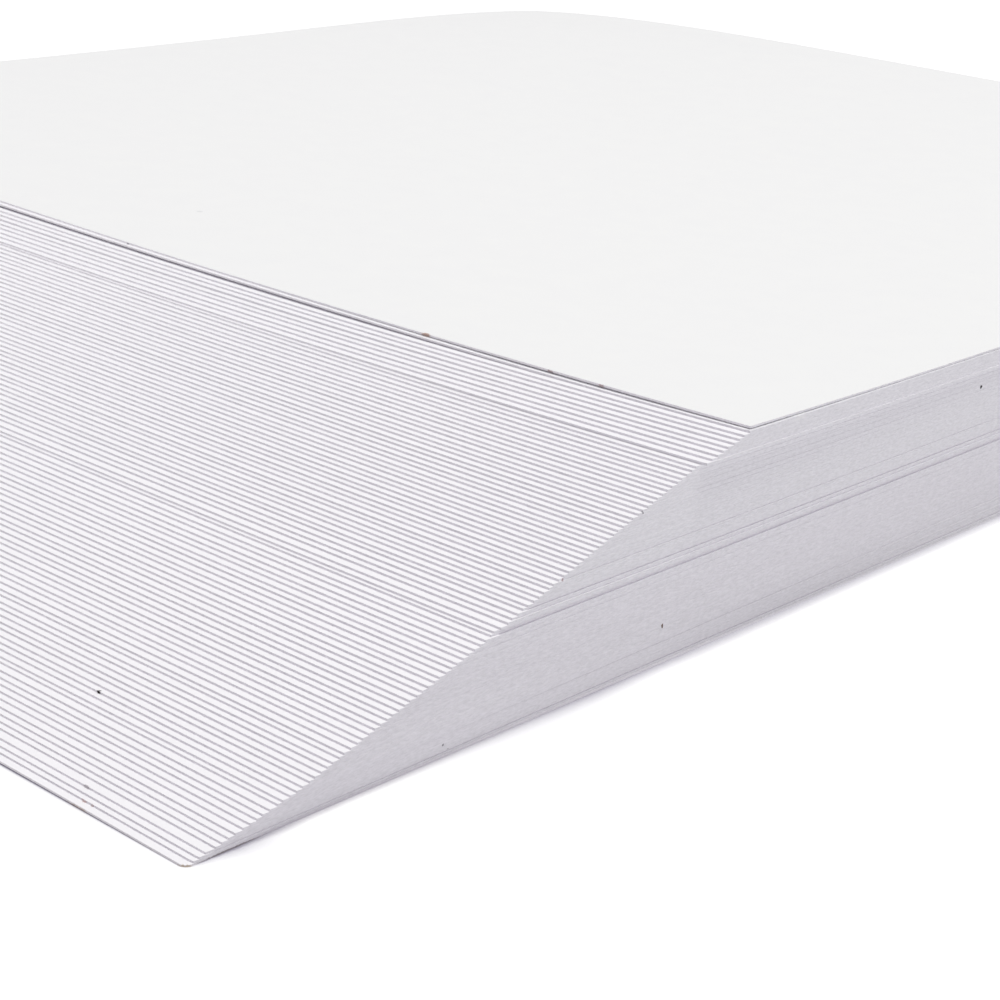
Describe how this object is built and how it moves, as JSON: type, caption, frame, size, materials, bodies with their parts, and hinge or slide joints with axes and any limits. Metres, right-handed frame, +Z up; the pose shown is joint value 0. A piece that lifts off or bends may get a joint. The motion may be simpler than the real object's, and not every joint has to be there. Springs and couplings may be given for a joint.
{
  "type": "pack of cardstock",
  "caption": "Loose stack of blank white square cardstock sheets, flush along one side and fanned out in a long shallow slope at the front.",
  "frame": {"origin": "on the surface the pack rests on, below the middle of its footprint", "axes": "+Z up from the resting surface; -Y towards the fanned front, where each lower sheet reaches out further; +X towards the flush side"},
  "size_m": [0.3078, 0.4176, 0.0303],
  "materials": {
    "card": "matte"
  },
  "bodies": {
    "root": {"sheets_001_002": "card", "sheets_003_004": "card", "sheets_005_006": "card", "sheets_007_008": "card", "sheets_009_010": "card", "sheets_011_012": "card", "sheets_013_014": "card", "sheets_015_016": "card", "sheets_017_018": "card", "sheets_019_020": "card", "sheets_021_022": "card", "sheets_023_024": "card", "sheets_025_026": "card", "sheets_027_028": "card", "sheets_029_030": "card", "sheets_031_032": "card", "sheets_033_034": "card", "sheets_035_036": "card", "sheets_037_038": "card", "sheets_039_040": "card", "sheets_041_042": "card", "sheets_043_044": "card", "sheets_045_046": "card", "sheets_047_048": "card", "sheets_049_050": "card", "sheets_051_052": "card", "sheets_053_054": "card", "sheets_055_056": "card", "sheets_057_058": "card", "sheets_059_060": "card", "sheets_061_062": "card", "sheets_063_064": "card", "sheets_065_066": "card", "sheets_067_068": "card", "sheets_069_070": "card", "sheets_071_072": "card", "sheets_073_074": "card", "sheets_075_076": "card", "sheets_077_078": "card", "sheets_079_080": "card", "sheets_081_082": "card", "sheets_083_084": "card", "sheets_085_086": "card", "sheets_087_088": "card", "sheets_089_090": "card", "sheets_091_092": "card", "sheets_093_094": "card", "sheets_095_096": "card", "sheets_097_098": "card", "sheets_099_100": "card", "sheets_101_101": "card"}
  },
  "joints": []
}
